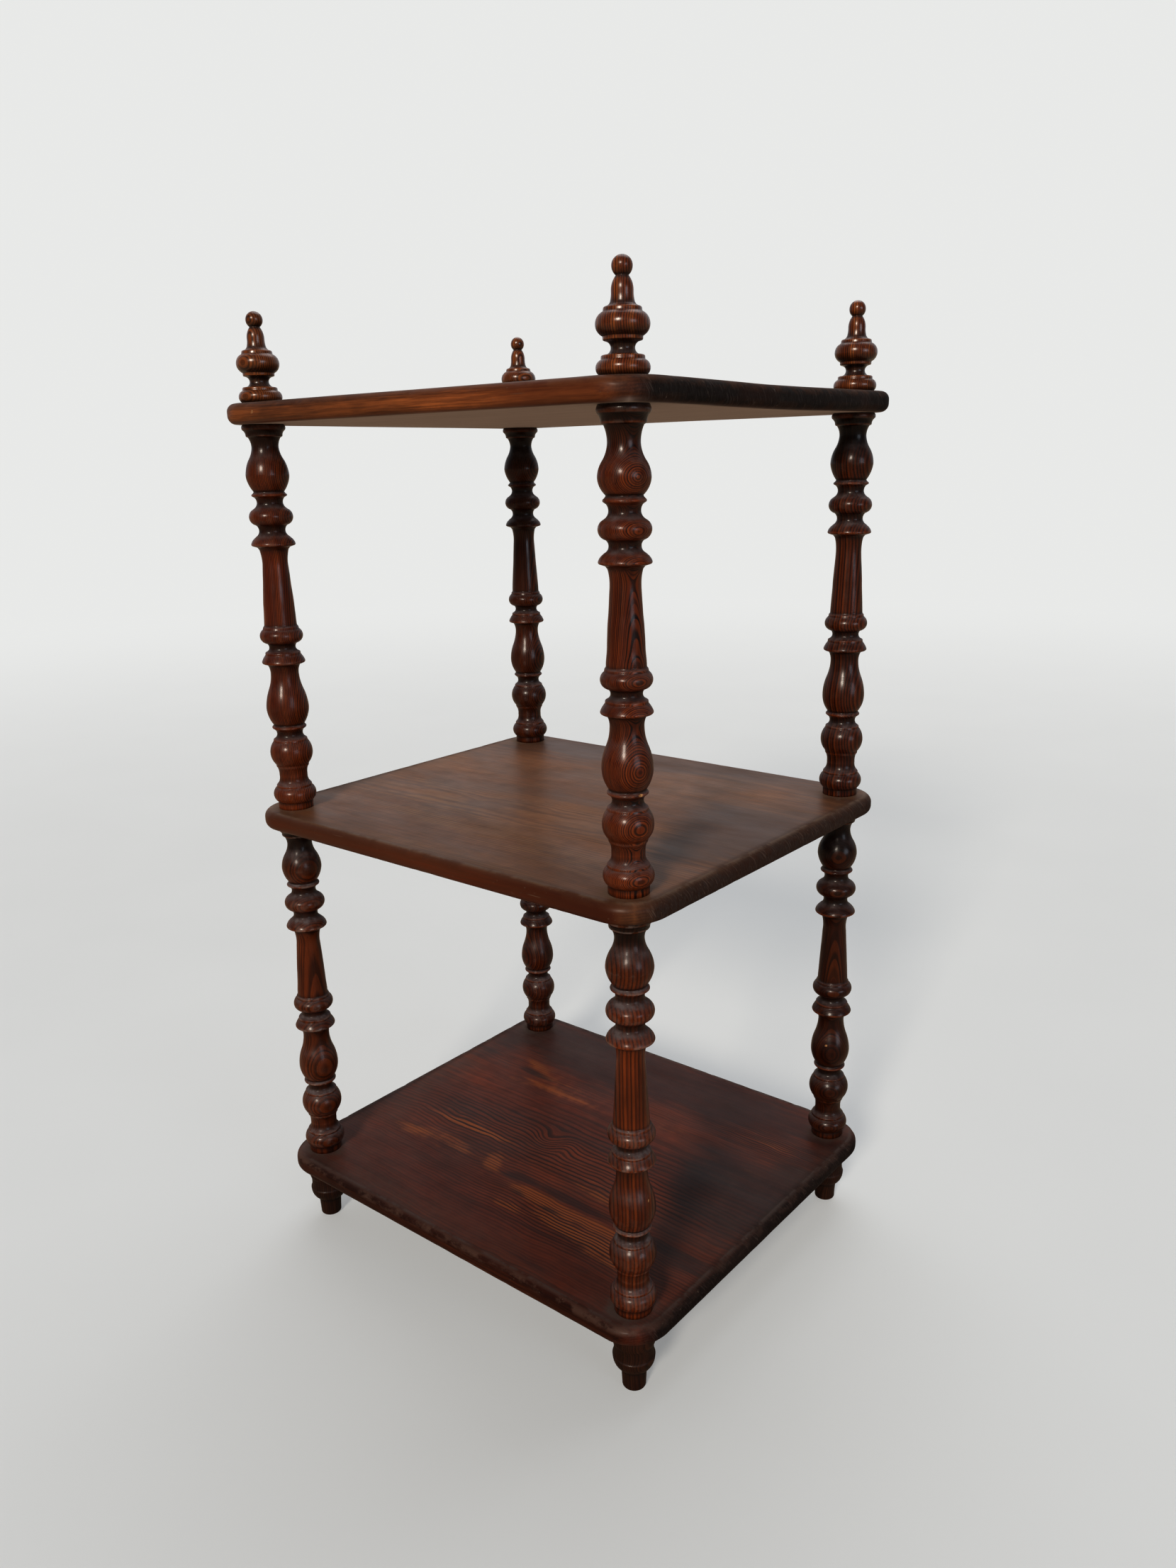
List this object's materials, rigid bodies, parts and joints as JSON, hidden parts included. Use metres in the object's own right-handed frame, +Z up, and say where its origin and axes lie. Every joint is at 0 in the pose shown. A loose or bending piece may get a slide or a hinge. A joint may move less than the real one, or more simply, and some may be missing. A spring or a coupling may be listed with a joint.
{
  "type": "etagere",
  "caption": "Free-standing open display stand: round-cornered wooden boards on turned corner posts, with lift-out turned finials on top and short turned feet.",
  "frame": {"origin": "on the floor, under the middle of the boards", "axes": "+Z up; +X along the grain and the long side of the boards; -Y the front; +X, -Y is the corner nearest the picture's camera"},
  "size_m": [0.464, 0.402, 0.89],
  "materials": {
    "shelf_wood": "dark red-brown stained softwood board, worn satin varnish",
    "post_wood": "dark red-brown stained turned softwood, semi-gloss varnish",
    "finial_wood": "dark red-brown stained turned softwood, glossy varnish",
    "foot_wood": "near-black stained turned softwood, dull and worn"
  },
  "bodies": {
    "root": {"bottom_shelf": "shelf_wood", "middle_shelf": "shelf_wood", "top_shelf": "shelf_wood", "foot_front_left": "foot_wood", "foot_front_right": "foot_wood", "foot_back_left": "foot_wood", "foot_back_right": "foot_wood", "lower_post_front_left": "post_wood", "lower_post_front_right": "post_wood", "lower_post_back_left": "post_wood", "lower_post_back_right": "post_wood", "upper_post_front_left": "post_wood", "upper_post_front_right": "post_wood", "upper_post_back_left": "post_wood", "upper_post_back_right": "post_wood"},
    "finial_front_left": {"finial_front_left": "finial_wood"},
    "finial_front_right": {"finial_front_right": "finial_wood"},
    "finial_back_left": {"finial_back_left": "finial_wood"},
    "finial_back_right": {"finial_back_right": "finial_wood"}
  },
  "joints": [
    {"name": "finial_front_left_lift", "type": "slide", "parent": "root", "child": "finial_front_left", "axis": [0, 0, 1], "range_m": [0, 0.06]},
    {"name": "finial_front_right_lift", "type": "slide", "parent": "root", "child": "finial_front_right", "axis": [0, 0, 1], "range_m": [0, 0.06]},
    {"name": "finial_back_left_lift", "type": "slide", "parent": "root", "child": "finial_back_left", "axis": [0, 0, 1], "range_m": [0, 0.06]},
    {"name": "finial_back_right_lift", "type": "slide", "parent": "root", "child": "finial_back_right", "axis": [0, 0, 1], "range_m": [0, 0.06]}
  ]
}
